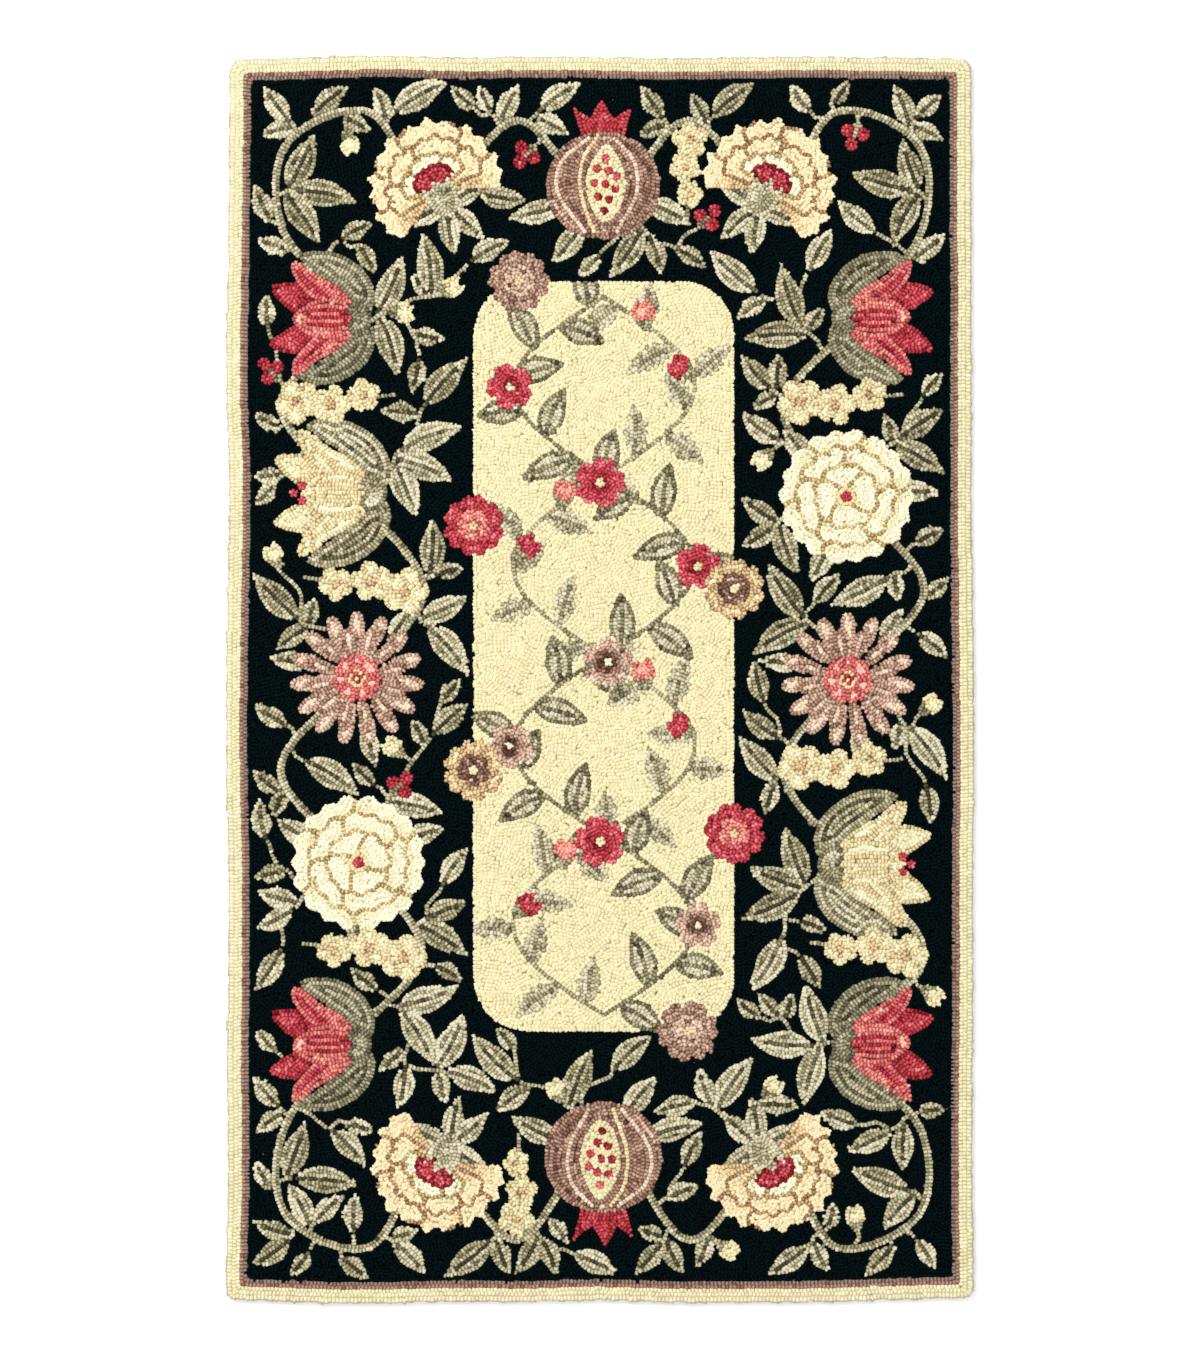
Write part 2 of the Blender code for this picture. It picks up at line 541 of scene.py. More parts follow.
def lily(canvas, place, back="rose", front="pink", leaves="olive", low=0.1, edge=0.3):
    """An open lily between two broad sepals; low and edge are the tones at a petal's foot and edge."""
    for mirror in (False, True):
        shade = fade(place, (-60, -40), (60, 40), 0.65, 0.95)
        shape(canvas, moved(place, mirror=mirror), SEPAL, leaves, shade, rim=1.0, stripe=0.5)
    for x, turn, tone in ((-14, 16, 0.25), (14, -16, 0.15)):
        one = moved(place, x, 0, turn)
        shape(canvas, one, BACK_PETAL, back, fade(one, (0, 10), (0, 90), tone, 0.85), rim=tone + 0.1)
    for mirror in (False, True):
        half = moved(place, mirror=mirror)
        shape(canvas, half, SIDE_PETAL, front, fade(half, (-4, -10), (-74, 52), low, 1.0), rim=edge)
        for lift, tone in ((0, 0.35), (9, 0.7)):
            vein = curve([(-12, lift - 4), (-34, lift + 18), (-54, lift / 3 + 42), (-66, 50)], 4)
            canvas.row(half.at(vein), back, tone)
    shape(canvas, place, FRONT_PETAL, front, fade(place, (0, -24), (0, 56), low, 1.0), rim=edge)
    for x in (-10, 1, 11):
        canvas.row(place.at(curve([(x * 0.6, -22), (x, 8), (x * 0.8, 38)], 4)), back, 0.4)
    shape(canvas, place, CUP, leaves, fade(place, (-18, 0), (18, 0), 1.0, 0.5), rim=0.4)


def pale_lily(canvas, place):
    """The same lily in ivory, with red stamens."""
    lily(canvas, place, "ivory", "ivory", "sage", low=0.7, edge=0.35)
    for x, y in ((0, 66), (-9, 56), (9, 56)):
        canvas.fill(place.at(circle(6, (x, y), 8)), "rose", 0.6)


CROWN = ((-21, 40), (-32, 78), (-14, 64), (-2, 86), (11, 64), (31, 79), (21, 40))
FRUIT = both_sides((0, -62), (-34, -53), (-56, -26), (-58, 8), (-42, 36), (-19, 48), (0, 51))
SPLIT = ((3, 38), (-13, 18), (-18, -6), (-10, -34), (4, -44), (18, -28), (24, -2), (17, 22))
SEEDS = ((3, 23), (-6, 12), (6, 10), (14, 4), (-9, -3), (2, -4), (13, -9), (-5, -17), (6, -20), (1, -32))
# The ribs of the fruit: how far each bows out, its wool and its tone
RIBS = (
    (-46, "mauve", 0.95), (-34, "mauve", 0.35), (-23, "gold", 0.8), (34, "mauve", 0.9), (46, "mauve", 0.25),
)


def pomegranate(canvas, place):
    """A split ribbed fruit with red seeds and a red crown."""
    for turn, long in ((112, 62), (-108, 58), (150, 52)):
        x, y = polar(44, turn + 90)
        leaf(canvas, moved(place, x, y - 8, turn), long, 25, 0.15)
    canvas.fill(place.at(CROWN), "rose", fade(place, (0, 42), (0, 80), 0.25, 0.85), rim=0.45)
    shape(canvas, place, FRUIT, "mauve", fade(place, (44, -50), (-36, 34), 0.3, 1.0), rim=0.4)
    for x, wool, tone in RIBS:
        rib = curve([(x * 0.3, 45), (x * 0.95, 20), (x * 1.02, -14), (x * 0.4, -55)], 5)
        canvas.row(place.at(rib), wool, tone)
    shape(canvas, place, SPLIT, "ivory", 0.75, rim=0.5)
    for x, y in SEEDS:
        canvas.fill(place.at(circle(4.6, (x, y), 8)), "rose", 0.45 + 0.015 * (x + y))


FAN = both_sides((0, 0), (-12, 22), (-23, 42), (-30, 54), (-22, 62), (-18, 68), (-9, 65), (0, 73))
CALYX = both_sides((0, -64), (-14, -54), (-19, -38), (-17, -16), (-9, -24), (0, -12))


def carnation(canvas, place):
    """A fan of pinked petals over a green cup."""
    for turn, bend in ((72, -0.25), (-72, 0.25), (208, 0.15), (152, -0.15)):
        leaf(canvas, moved(place, 0, -52, turn), 60, 27, bend)
    petals = []
    for turns, size, wool, low, line in (
        ((-86, 86, -52, 52, -18, 18), 1.18, "gold", 0.45, 0.12),
        ((-64, 64, -24, 24), 0.86, "gold", 0.65, 0.12),
        ((-44, 44, 0), 0.58, "ivory", 0.5, 0.0),
    ):
        for turn in turns:
            one = moved(place, 0, -28, -turn, size + 0.08 * math.cos(math.radians(turn)))
            overlap(canvas, petals, one, FAN, wool, fade(one, (0, 30), (0, 56), low, 1.0), line)
    for turn in (-28, 28):
        one = moved(place, 0, -28, -turn, 0.44)
        overlap(canvas, petals, one, FAN, "rose", fade(one, (0, 14), (0, 60), 0.2, 0.8), 0.1)
    shape(canvas, place, CALYX, "sage", fade(place, (-18, 0), (18, 0), 0.9, 0.45), rim=0.85)


BUD = ((0, 4), (-11, 10), (-12, 21), (-6, 31), (0, 26), (6, 32), (12, 22), (11, 10))
BUD_FOOT = both_sides((0, -3), (-6, 1), (-9, 13), (0, 8))
SPIRE_PETAL = both_sides((0, 0), (-9, 9), (-8, 18), (0, 22))


def bud(canvas, place, wool):
    """A bud on its green foot, opening along +y."""
    shape(canvas, place, BUD, wool, 0.75, rim=0.5)
    shape(canvas, place, BUD_FOOT, "sage", 0.5)


def spire(canvas, place):
    """A stem of three pale open flowers, the largest at its foot."""
    canvas.row(place.at(((0, -14), (0, 135))), "sage", 0.6)
    for k in range(3):
        one = moved(place, (-4, 4)[k % 2], 43 * k + 8, 24 * k, 1.35 - 0.17 * k)
        for turn in ring(5, 45):
            shape(canvas, moved(one, turn=turn), SPIRE_PETAL, "ivory", 0.72, rim=0.4)
        shape(canvas, one, circle(5), "gold", 0.4)


def berries(canvas, place, wool):
    """Three round berries on short stalks."""
    for x, y in ((-9, 6), (10, 8), (0, 22)):
        canvas.row(place.at(((0, -8), (x, y))), "sage", 0.5)
        shade = fade(place, (x + 6, y - 6), (x - 5, y + 5), 0.2, 0.9)
        canvas.fill(place.at(circle(8.4, (x, y))), wool, shade, rim=0.4)


# ---- The layout ----

# The pale panel, in millimetres from the middle of the rug
PANEL = {"left": -156.0, "right": 166.0, "near": -434.0, "far": 492.0, "corner": 66.0}

# The large blooms and fruit of the border, and the small ones between them: motif, x, y, turn, size
LARGE = (
    (pomegranate, 4, 616, 0, 1.18),
    (carnation, 218, 628, -28, 1.0),
    (lily, 330, 446, -90, 0.9),
    (peony, 304, 226, 10, 1.0),
    (aster, 306, 0, 0, 1.05),
    (pale_lily, 318, -228, -90, 1.0),
    (lily, 330, -450, -90, 0.9),
    (carnation, 222, -618, -150, 1.0),
    (pomegranate, 4, -596, 180, 1.22),
    (carnation, -210, -618, 150, 1.0),
    (lily, -326, -450, 90, 0.9),
    (peony, -298, -226, 30, 1.0),
    (aster, -300, 2, 0, 1.05),
    (pale_lily, -312, 230, 90, 1.0),
    (lily, -326, 446, 90, 0.9),
    (carnation, -212, 628, 28, 1.0),
)
SMALL = (
    (spire, 108, 672, 180, 0.78),
    (spire, -100, -672, 0, 0.8),
    (spire, 240, 338, -84, 1.0),
    (spire, 240, -112, -84, 1.0),
    (spire, -232, 112, 84, 1.0),
    (spire, -234, -340, 84, 1.0),
    (spire, 386, -338, 84, 0.95),
    (spire, -380, 338, -84, 0.95),
)

# The winding stem of the border passes through these
VINE = (
    (4, 590), (108, 690), (212, 600), (290, 700), (392, 662), (398, 556),
    (320, 446), (226, 336), (304, 226), (400, 112), (306, 0), (226, -112),
    (312, -228), (400, -338), (320, -450), (398, -560), (392, -662), (290, -700),
    (214, -592), (110, -692), (4, -570), (-102, -692), (-204, -592), (-284, -700),
    (-386, -662), (-392, -560), (-316, -450), (-220, -338), (-298, -226), (-394, -112),
    (-300, 2), (-218, 112), (-306, 230), (-394, 338), (-316, 446), (-392, 556),
    (-386, 662), (-284, 700), (-206, 600), (-100, 690),
)

# The flowers on the panel's edge: kind, x, y, turn
EDGE_FLOWERS = (
    ("dusk", -100, 492, 20), ("amber", 166, 112, 60), ("rosette", 166, -190, 10),
    ("dusk", 108, -434, 40), ("amber", -156, -112, 0), ("rosette", -156, 190, 0),
)

# Each garland: how far it swings to the sides and stays in from the panel's ends, in millimetres,
# and how many bends and leaves it has
GARLAND_REACH = 112.0
GARLAND_IN = 20
GARLAND_TURNS = 4
GARLAND_LEAVES = 30

# Sprigs, in millimetres: the lengths of leaf to try, the narrowest bare place that gets one, the
# gap left round a leaf, and the grid on which bare places are sought
LENGTHS = (80, 74, 68, 62, 56, 50, 44, 38)
LEAST_ROOM = 13.5
LEAF_GAP = 3.2
SPRAY_STEP = 4
# The leaves of a sprig: how far each may lean from straight ahead and how far apart they keep, in
# degrees, at how many points of a leaf its room is tested, and the tones that a sprig may have
LEANS = (0, 58, -58, 28, -100)
LEAST_SPREAD = 42
MOST_LEAVES = 3
TESTED = 9
SPRIG_TONES = (0.90, 0.80, 0.68)
# A twig's foot lies this share of a bare place's radius from its middle
FOOT_SHARE = 0.9
# What ends one sprig or another of every so many instead of a leaf
TIPS = {3: (bud, "ivory"), 9: (bud, "ivory"), 17: (berries, "rose"), 21: (bud, "ivory")}
TIP_EVERY = 24

# The seeds of what is left to chance; and for each plain wool, its patches' size and their seed
SPRAY_SEED = 11
PILE_SEED = 7
PATCHES = {"ground": (60, 5), "panel": (55, 6)}


class Spray:
    """Sprigs of leaves that grow from the stems into the widest bare places."""

    def __init__(self, canvas, ground, stem):
        self.canvas, self.ground = canvas, ground
        self.rng = np.random.default_rng(SPRAY_SEED)
        self.stems = stem
        self.sprigs = 0
        bare = canvas.area[::SPRAY_STEP, ::SPRAY_STEP] == ground
        self.room = np.where(bare, edge_distance(bare.astype(np.int32)) * SPRAY_STEP, 0).astype(float)
        self.x, self.y = canvas.x[::SPRAY_STEP], canvas.y[::SPRAY_STEP]

    def room_at(self, points):
        i, j = (
            np.clip(((points[:, axis] - line[0]) / SPRAY_STEP).round().astype(int), 0, len(line) - 1)
            for axis, line in ((1, self.y), (0, self.x))
        )
        return self.room[i, j]

    def fill_in(self, points, reach):
        """Takes what lies within reach of some points out of the bare room."""
        low, high = points.min(0) - LENGTHS[0], points.max(0) + LENGTHS[0]
        j0, j1 = np.searchsorted(self.x, (low[0], high[0]))
        i0, i1 = np.searchsorted(self.y, (low[1], high[1]))
        gx, gy = np.meshgrid(self.x[j0:j1], self.y[i0:i1])
        far = np.hypot(gx[..., None] - points[:, 0], gy[..., None] - points[:, 1]) - reach
        self.room[i0:i1, j0:j1] = np.minimum(self.room[i0:i1, j0:j1], np.maximum(far.min(-1), 0))

    def longest(self, foot, turn, bend):
        """The longest leaf that keeps clear of what is there, and the points and widths it takes."""
        t = np.linspace(0, 1, TESTED)
        for length in LENGTHS:
            width = 10 + 0.30 * length
            _, spine, _ = blade(length, width, bend, steps=TESTED)
            line = Place(*foot, turn).at(spine)
            half = half_widths(width, t)
            if (self.room_at(line) >= (0.8 * half + LEAF_GAP) * np.minimum(1, 2 * t)).all():
                return length, width, line, half
        return None

    def leaves_at(self, foot, away):
        """Up to three leaves that fit round the foot of a sprig, the first straight ahead."""
        ahead = math.degrees(math.atan2(away[1], away[0])) - 90
        side = self.rng.choice((-1, 1))
        leaves = []
        for lean in side * np.array(LEANS):
            if len(leaves) == MOST_LEAVES:
                break
            if any(abs(lean - other) < LEAST_SPREAD for other, *_ in leaves):
                continue
            turn = ahead + lean + self.rng.uniform(-9, 9)
            bend = float(self.rng.uniform(0.08, 0.26)) * (-1 if lean > 0 else 1)
            start = foot + away * (self.rng.uniform(6, 13) if lean == 0 else self.rng.uniform(-7, 1))
            found = self.longest(start, turn, bend)
            if found:
                leaves.append((lean, Place(*start, turn), bend, *found))
        return leaves

    def sprig(self, spot, radius):
        """A twig to the near side of a bare place, with up to three leaves across it."""
        distances = np.hypot(*(self.stems - spot).T)
        root, far = self.stems[np.argmin(distances)], distances.min()
        away = (spot - root) / max(far, 1e-6)
        foot = spot - away * min(radius * FOOT_SHARE, far)
        leaves = self.leaves_at(foot, away)
        if not leaves:
            return False
        if far > radius * FOOT_SHARE + 2:
            across = np.array((-away[1], away[0])) * self.rng.uniform(-0.16, 0.16) * far
            twig = curve((root, (root + foot) / 2 + across, foot, foot + away * 8), 6)
            self.canvas.row(twig, "sage", 0.68, on=[self.ground])
            self.stems = np.vstack([self.stems, twig])
            self.fill_in(twig, 2.0)
        tone = float(self.rng.choice(SPRIG_TONES))
        self.sprigs += 1
        for lean, place, bend, length, width, line, half in leaves:
            tip = TIPS.get(self.sprigs % TIP_EVERY) if lean == 0 else None
            if tip:
                motif, wool = tip
                motif(self.canvas, place, wool)
                half = np.where(np.arange(TESTED) < 6, 13, 0) if length > 42 else np.full(TESTED, 11)
            else:
                leaf(self.canvas, place, length, width, bend, tone=tone, on=[self.ground])
            self.fill_in(line, half)
            self.stems = np.vstack([self.stems, line[:1]])
        return True

    def grow(self):
        while self.room.max() >= LEAST_ROOM:
            i, j = np.unravel_index(np.argmax(self.room), self.room.shape)
            if not self.sprig(np.array((self.x[j], self.y[i])), self.room[i, j]):
                self.room[max(i - 2, 0) : i + 3, max(j - 2, 0) : j + 3] = 0


def garland(side):
    """A stem that swings from side to side up the panel, in even steps."""
    near, far = PANEL["near"] + GARLAND_IN, PANEL["far"] - GARLAND_IN
    t = np.linspace(0, 1, 401)
    x = (PANEL["left"] + PANEL["right"]) / 2 + side * GARLAND_REACH * np.sin(t * GARLAND_TURNS * np.pi)
    line = np.stack([x, near + t * (far - near)], -1)
    run = lengths_along(line)
    return spots_at(line, run, t * run[-1])


def along(line, share):
    """The place at a share of a line's length, turned to its heading."""
    k = round(share * (len(line) - 1))
    run = line[min(k + 1, len(line) - 1)] - line[max(k - 1, 0)]
    return Place(*line[k], math.degrees(math.atan2(run[1], run[0])) - 90)


def dress_panel(canvas, panel):
    """Two garlands that cross up the panel, the clearly drawn one over the soft one."""
    drawn, soft = garland(1), garland(-1)
    for stem, draw, tone in ((drawn, outlined_leaf, 0.45), (soft, soft_leaf, 0.6)):
        canvas.row(stem, "sage", tone, on=[panel])
        for m in range(GARLAND_LEAVES):
            turn = (-1, 1)[m % 2] * (54 + 9 * math.sin(m * 2.4))
            place = moved(along(stem, (m + 0.5) / GARLAND_LEAVES), turn=turn)
            draw(canvas, place, 60 + 7 * math.sin(m * 1.7), 28, math.copysign(0.2, -turn), [panel])
    for n in range(1, GARLAND_TURNS):
        place = moved(along(drawn, n / GARLAND_TURNS), (9, -9)[n % 2], 0, 24 * n, 1.08)
        flower(canvas, place, ("violet", "rose")[n % 2])
    for n in range(GARLAND_TURNS):
        side = (-1) ** n
        bend = (n + 0.5) / GARLAND_TURNS
        flower(canvas, moved(along(drawn, bend), 4 * side, 0, 31 * n, 0.98), ("violet", "rose")[n // 2 % 2])
        bud(canvas, moved(along(soft, bend + 0.01), turn=-38 * side, size=1.15), "rose")
        bud(canvas, moved(along(soft, bend + 0.075), 4 * side, 0, 44 * side, 1.15), "pink")


def rounded(left, right, near, far, corner, steps=8):
    """A rectangle with rounded corners."""
    points = []
    for x, y, start in ((right, far, 0), (left, far, 90), (left, near, 180), (right, near, 270)):
        middle = (x - math.copysign(corner, x), y - math.copysign(corner, y))
        points.append(middle + polar(corner, start + np.arange(steps + 1) * 90 / steps))
    return np.vstack(points)


def alongside(line, by):
    """A line that runs beside another."""
    run = np.gradient(line, axis=0)
    run /= np.hypot(*run.T)[:, None]
    return line + np.stack([-run[:, 1], run[:, 0]], -1) * by


def draw_rug(canvas, outline):
    """The whole pattern, from the bands at the rim to the sprigs that fill the border."""
    ground = canvas.bands(outline, (("band", BAND_ROWS), ("line_outer", 1), ("line_inner", 1)))
    panel = canvas.fill(rounded(**PANEL), "panel", PLAIN)
    dress_panel(canvas, panel)
    vine = curve(VINE, 10, closed=True)
    for by, tone in ((PITCH / 2, 0.78), (-PITCH / 2, 0.5)):
        line = alongside(vine, by)
        canvas.row(np.vstack([line, line[:1]]), "sage", tone, on=[ground])
    for motif, x, y, turn, size in LARGE + SMALL:
        motif(canvas, Place(x, y, turn, size))
    for kind, x, y, turn in EDGE_FLOWERS:
        flower(canvas, Place(x, y, turn, 0.98), kind)
    Spray(canvas, ground, vine).grow()
    for name, area in (("ground", ground), ("panel", panel)):
        patches(canvas, area, *PATCHES[name])


# ---- The hooking ----

# The least slope of the distance to an edge that a row can follow, squared or not; how near a
# row's level a first loop is sought, in millimetres; and the most rows from an edge inwards
LEAST_SLOPE_SQUARED = 0.15
LEAST_SLOPE = 0.3
NEAR_LEVEL = 0.6
MOST_ROWS = 14


def disc(radius):
    """The spots of the grid within a radius, and how far they reach."""
    r = int(math.ceil(radius))
    y, x = np.mgrid[-r : r + 1, -r : r + 1]
    return (x * x + y * y) <= radius * radius, r


class Hooking:
    """Fills every area of a canvas with rows of loops, one row beside another from its edge inwards."""

    def __init__(self, canvas, distance):
        self.canvas = canvas
        self.distance = distance
        self.gy, self.gx = np.gradient(distance)
        self.taken = canvas.area == 0
        self.stamp, self.reach = disc(CLEAR)
        self.loops = []

    def cell(self, x, y):
        return int(round(y - self.canvas.low[1])), int(round(x - self.canvas.low[0]))

    def free(self, x, y):
        return not self.taken[self.cell(x, y)]

    def place(self, x, y, angle, number):
        """Puts in a loop, and keeps the next ones a little off it."""
        i, j = self.cell(x, y)
        r = self.reach
        self.taken[i - r : i + r + 1, j - r : j + r + 1] |= self.stamp
        self.loops.append((x, y, angle, int(self.canvas.area[i, j]), number))

    def follow(self, points, name):
        """The loops of a row that follows a given line, where the line still shows."""
        run = lengths_along(points)
        count = max(1, int(round(run[-1] / PITCH)))
        at = (np.arange(count) + 0.5) * run[-1] / count
        heading = spots_at(points, run, at + 1) - spots_at(points, run, at - 1)
        for (x, y), (dx, dy) in zip(spots_at(points, run, at), heading):
            if self.canvas.area[self.cell(x, y)] == name and self.free(x, y):
                self.place(x, y, math.atan2(dy, dx), 0)

    def onto(self, x, y, level):
        """The spot near (x, y) that lies on a level, and the uphill direction there."""
        for _ in range(2):
            i, j = self.cell(x, y)
            gx, gy = self.gx[i, j], self.gy[i, j]
            g = gx * gx + gy * gy
            if g < LEAST_SLOPE_SQUARED:
                return None
            miss = self.distance[i, j] - level
            miss += gx * (x - self.canvas.low[0] - j) + gy * (y - self.canvas.low[1] - i)
            if abs(miss) > PITCH:
                return None
            x, y = x - miss * gx / g, y - miss * gy / g
        n = math.sqrt(g)
        return x, y, gx / n, gy / n

    def hook_near(self, x, y, level, number, name):
        """Puts in a loop of an area on the level near (x, y), if it fits, and says where it is."""
        spot = self.onto(x, y, level)
        if spot is None:
            return None
        x, y, ux, uy = spot
        if not self.free(x, y) or self.canvas.area[self.cell(x, y)] != name:
            return None
        self.place(x, y, math.atan2(ux, -uy), number)
        return x, y

    def march(self, x, y, level, number, side):
        """Hooks on from a loop along its row until the row meets other loops."""
        name = self.canvas.area[self.cell(x, y)]
        while True:
            i, j = self.cell(x, y)
            gx, gy = self.gx[i, j], self.gy[i, j]
            n = math.hypot(gx, gy)
            if n < LEAST_SLOPE:
                return
            ahead = (x - side * gy / n * PITCH, y + side * gx / n * PITCH)
            spot = self.hook_near(*ahead, level, number, name)
            if spot is None:
                return
            x, y = spot

    def rows(self):
        """Rows at half a pitch, one and a half, and so on, in from the edge of each area."""
        for number in range(MOST_ROWS):
            level = (number + 0.5) * PITCH
            near = (np.abs(self.distance - level) < NEAR_LEVEL) & ~self.taken
            for i, j in zip(*np.nonzero(near)):
                if self.taken[i, j]:
                    continue
                here = (j + self.canvas.low[0], i + self.canvas.low[1])
                spot = self.hook_near(*here, level, number, self.canvas.area[i, j])
                if spot:
                    for side in (1, -1):
                        self.march(*spot, level, number, side)

    def gaps(self):
        """Loops for the places that the rows leave open."""
        self.stamp, self.reach = disc(GAP_CLEAR)
        r = self.reach
        for x, y, *_ in self.loops:
            i, j = self.cell(x, y)
            self.taken[i - r : i + r + 1, j - r : j + r + 1] |= self.stamp
        order = np.argsort(-self.distance[~self.taken], kind="stable")
        for i, j in np.argwhere(~self.taken)[order]:
            if self.taken[i, j]:
                continue
            angle = math.atan2(self.gx[i, j], -self.gy[i, j])
            number = int(self.distance[i, j] / PITCH)
            self.place(j + self.canvas.low[0], i + self.canvas.low[1], angle, number)


def hook(canvas):
    """Every loop of the rug: x, y, the angle of its row, its area's name and its row's number."""
    distance = edge_distance(canvas.area)
    in_border = (canvas.from_rim > 0) & (canvas.from_rim < BORDER)
    distance = np.where(in_border, canvas.from_rim, distance).astype(float)
    work = Hooking(canvas, distance)
    for points, name in canvas.rows:
        work.follow(points, name)
    work.rows()
    work.gaps()
    return np.array(work.loops)


# ---- The pile as meshes ----

# One loop of yarn, in millimetres: along its row, across it, and up from its tip
SKIRT = (4.1, 4.2, -5.6)
SHOULDER = (1.70, 2.32, -1.3)
RIDGE = 1.80
# The painted shade and painted highlight of each level of a loop, skirt, shoulder and ridge, as wool
# deep in the pile gets little light and its tip the most: in coloured wool, and in pale wool, which
# glows and so takes less of it; the lightness at which one turns into the other; and how pale the
# band's loops count as, which stand more apart
PAINTED_SHADE = (0.30, 0.70, 1.41)
PALE_PAINTED_SHADE = (0.56, 0.99, 1.01)
PALE = (0.36, 0.64)
BAND_PALE = 0.8

# How high the loops stand, and how much they differ in height, lean, turn, size and lightness
PILE_TOP = 10.0
TIP_SPREAD = 0.35
LEAN_SPREAD = 7.0
TURN_SPREAD = 7.0
SIZE_SPREAD = 0.06
LIGHTNESS = (0.91, 1.06)

# The outermost loops roll over the rim in two more rows: how far each leans out in degrees, and
# how far in from the rim and how far up its tips are
ROLLED = ((42.0, 0.9, 8.3), (84.0, 0.0, 3.4))

# The pile is cut into strips, and a strip's bake map into stacked thirds, to fill a square better;
# a loop keeps this share of its width there
STRIPS = 6
FOLDS = 3
BAKE_SHARE = 0.8
# How far the twist of the yarn moves on from loop to loop, for each millimetre between them
TWIST_SHIFT = 0.37


def loop_template():
    """A loop's ten points, its fourteen faces and the level of each point."""
    a, b, c = SKIRT
    d, e, f = SHOULDER
    ring = ((-1, -1), (1, -1), (1, 1), (-1, 1))
    points = [(a * u, b * v, c) for u, v in ring]
    points += [(d * u, e * v, f) for u, v in ring]
    points += [(0, -RIDGE, 0), (0, RIDGE, 0)]
    faces = []
    for k in range(4):
        n = (k + 1) % 4
        faces += [(k, n, 4 + n), (k, 4 + n, 4 + k)]
    faces += [(4, 5, 8), (6, 7, 9), (5, 6, 9), (5, 9, 8), (7, 4, 8), (7, 8, 9)]
    return np.array(points), np.array(faces), np.repeat((0, 1, 2), (4, 4, 2))


def linear(code):
    """The linear colour of a six-figure sRGB code."""
    values = np.array([int(code[k : k + 2], 16) for k in (0, 2, 4)]) / 255
    return np.where(values <= 0.04045, values / 12.92, ((values + 0.055) / 1.055) ** 2.4)


def yarn_colour(canvas, loops, rng):
    """Picks each loop's yarn from the shades of its wool, mixed as heathered wool is."""
    shade = canvas.shade[canvas.cells(loops[:, 0], loops[:, 1])].astype(float)
    name, number = loops[:, 3].astype(int), loops[:, 4]
    rim = np.array([np.nan if r is None else r for r in canvas.rim])[name]
    shade = np.where((number == 0) & ~np.isnan(rim), rim, shade)
    shade -= np.where(number % 2 == 0, np.array(canvas.stripe)[name], 0)
    shade += rng.normal(0, 1, len(loops)) * np.array([WOOLS[wool][0] for wool in canvas.wool])[name]
    wools = np.array(canvas.wool)[name]
    colours = np.zeros((len(loops), 3))
    for wool, (_, shades) in WOOLS.items():
        mine = wools == wool
        ramp = np.array([linear(code) for code in shades.split()])
        pick = np.clip(np.rint(shade[mine] * (len(ramp) - 1)), 0, len(ramp) - 1).astype(int)
        colours[mine] = ramp[pick]
    return colours * rng.uniform(*LIGHTNESS, (len(loops), 1))


def turned(points, angle, lean):
    """The template's points, one set for each loop, leaned about the row and then turned."""
    u, v, w = points[..., 0], points[..., 1], points[..., 2]
    cl, sl = np.cos(lean)[:, None], np.sin(lean)[:, None]
    v, w = v * cl + w * sl, w * cl - v * sl
    ca, sa = np.cos(angle)[:, None], np.sin(angle)[:, None]
    return np.stack([ca * u - sa * v, sa * u + ca * v, w], -1)


def rolled_rows(canvas, loops, colours):
    """The rows that roll over the rim: their tips, angles, leans and colours."""
    outermost = canvas.from_rim[canvas.cells(loops[:, 0], loops[:, 1])] < PITCH
    loops, colours = loops[outermost], colours[outermost]
    spots = canvas.cells(loops[:, 0], loops[:, 1])
    slope_y, slope_x = canvas.rim_slope
    out = -np.stack([slope_x[spots], slope_y[spots]], -1)
    out /= np.hypot(*out.T)[:, None]
    facing = np.arctan2(out[:, 1], out[:, 0]) - np.pi / 2
    order = np.random.default_rng(PILE_SEED).permutation(len(loops))
    for lean, tip_in, tip_up in ROLLED:
        foot = loops[:, :2] + out * (canvas.from_rim[spots] - tip_in)[:, None]
        tips = np.column_stack([foot, np.full(len(foot), tip_up)])
        yield tips, facing, np.full(len(foot), math.radians(lean)), colours[order]


def pile(canvas, loops):
    """Every loop's ten points and the colour at each: its yarn's colour with painted shade deep in the pile
    and a painted highlight at its tip.
    """
    rng = np.random.default_rng(PILE_SEED)
    template, _, level = loop_template()
    count = len(loops)
    colours = yarn_colour(canvas, loops, rng)
    angle = loops[:, 2] + np.radians(rng.normal(0, TURN_SPREAD, count))
    lean = np.radians(rng.normal(0, LEAN_SPREAD, count))
    tips = np.column_stack([loops[:, :2], PILE_TOP - np.abs(rng.normal(0, TIP_SPREAD, count))])
    sets = [(tips, angle, lean, colours), *rolled_rows(canvas, loops, colours)]
    tips, angle, lean, colours = (np.concatenate(part) for part in zip(*sets))
    size = 1 + rng.uniform(-SIZE_SPREAD, SIZE_SPREAD, (len(tips), 1, 3))
    points = turned(template * size, angle, lean) + tips[:, None]
    points[..., 2] = np.maximum(points[..., 2], 0)
    pale = np.interp(colours.mean(1), PALE, (0, 1))[:, None]
    in_band = canvas.from_rim[canvas.cells(tips[:, 0], tips[:, 1])] < BAND_ROWS * PITCH
    pale[in_band] *= BAND_PALE
    # Painted shade deep in each loop and a painted highlight at its tip, less of both in pale wool
    painted_shade = np.array(PAINTED_SHADE)[level] * (1 - pale) + np.array(PALE_PAINTED_SHADE)[level] * pale
    return points, colours[:, None] * painted_shade[..., None]


def bake_map(flat):
    """Where each loop of a strip lies in its bake map, a little apart from its neighbours."""
    middle = flat.mean(1, keepdims=True)
    low, high = flat.reshape(-1, 2).min(0), flat.reshape(-1, 2).max(0)
    share = (middle + (flat - middle) * BAKE_SHARE - low) / (high - low)
    fold = np.minimum((share[:, :1, 1] * FOLDS).astype(int), FOLDS - 1)
    return np.clip(np.stack([(share[..., 0] + fold) / FOLDS, share[..., 1] * FOLDS - fold], -1), 0, 1)


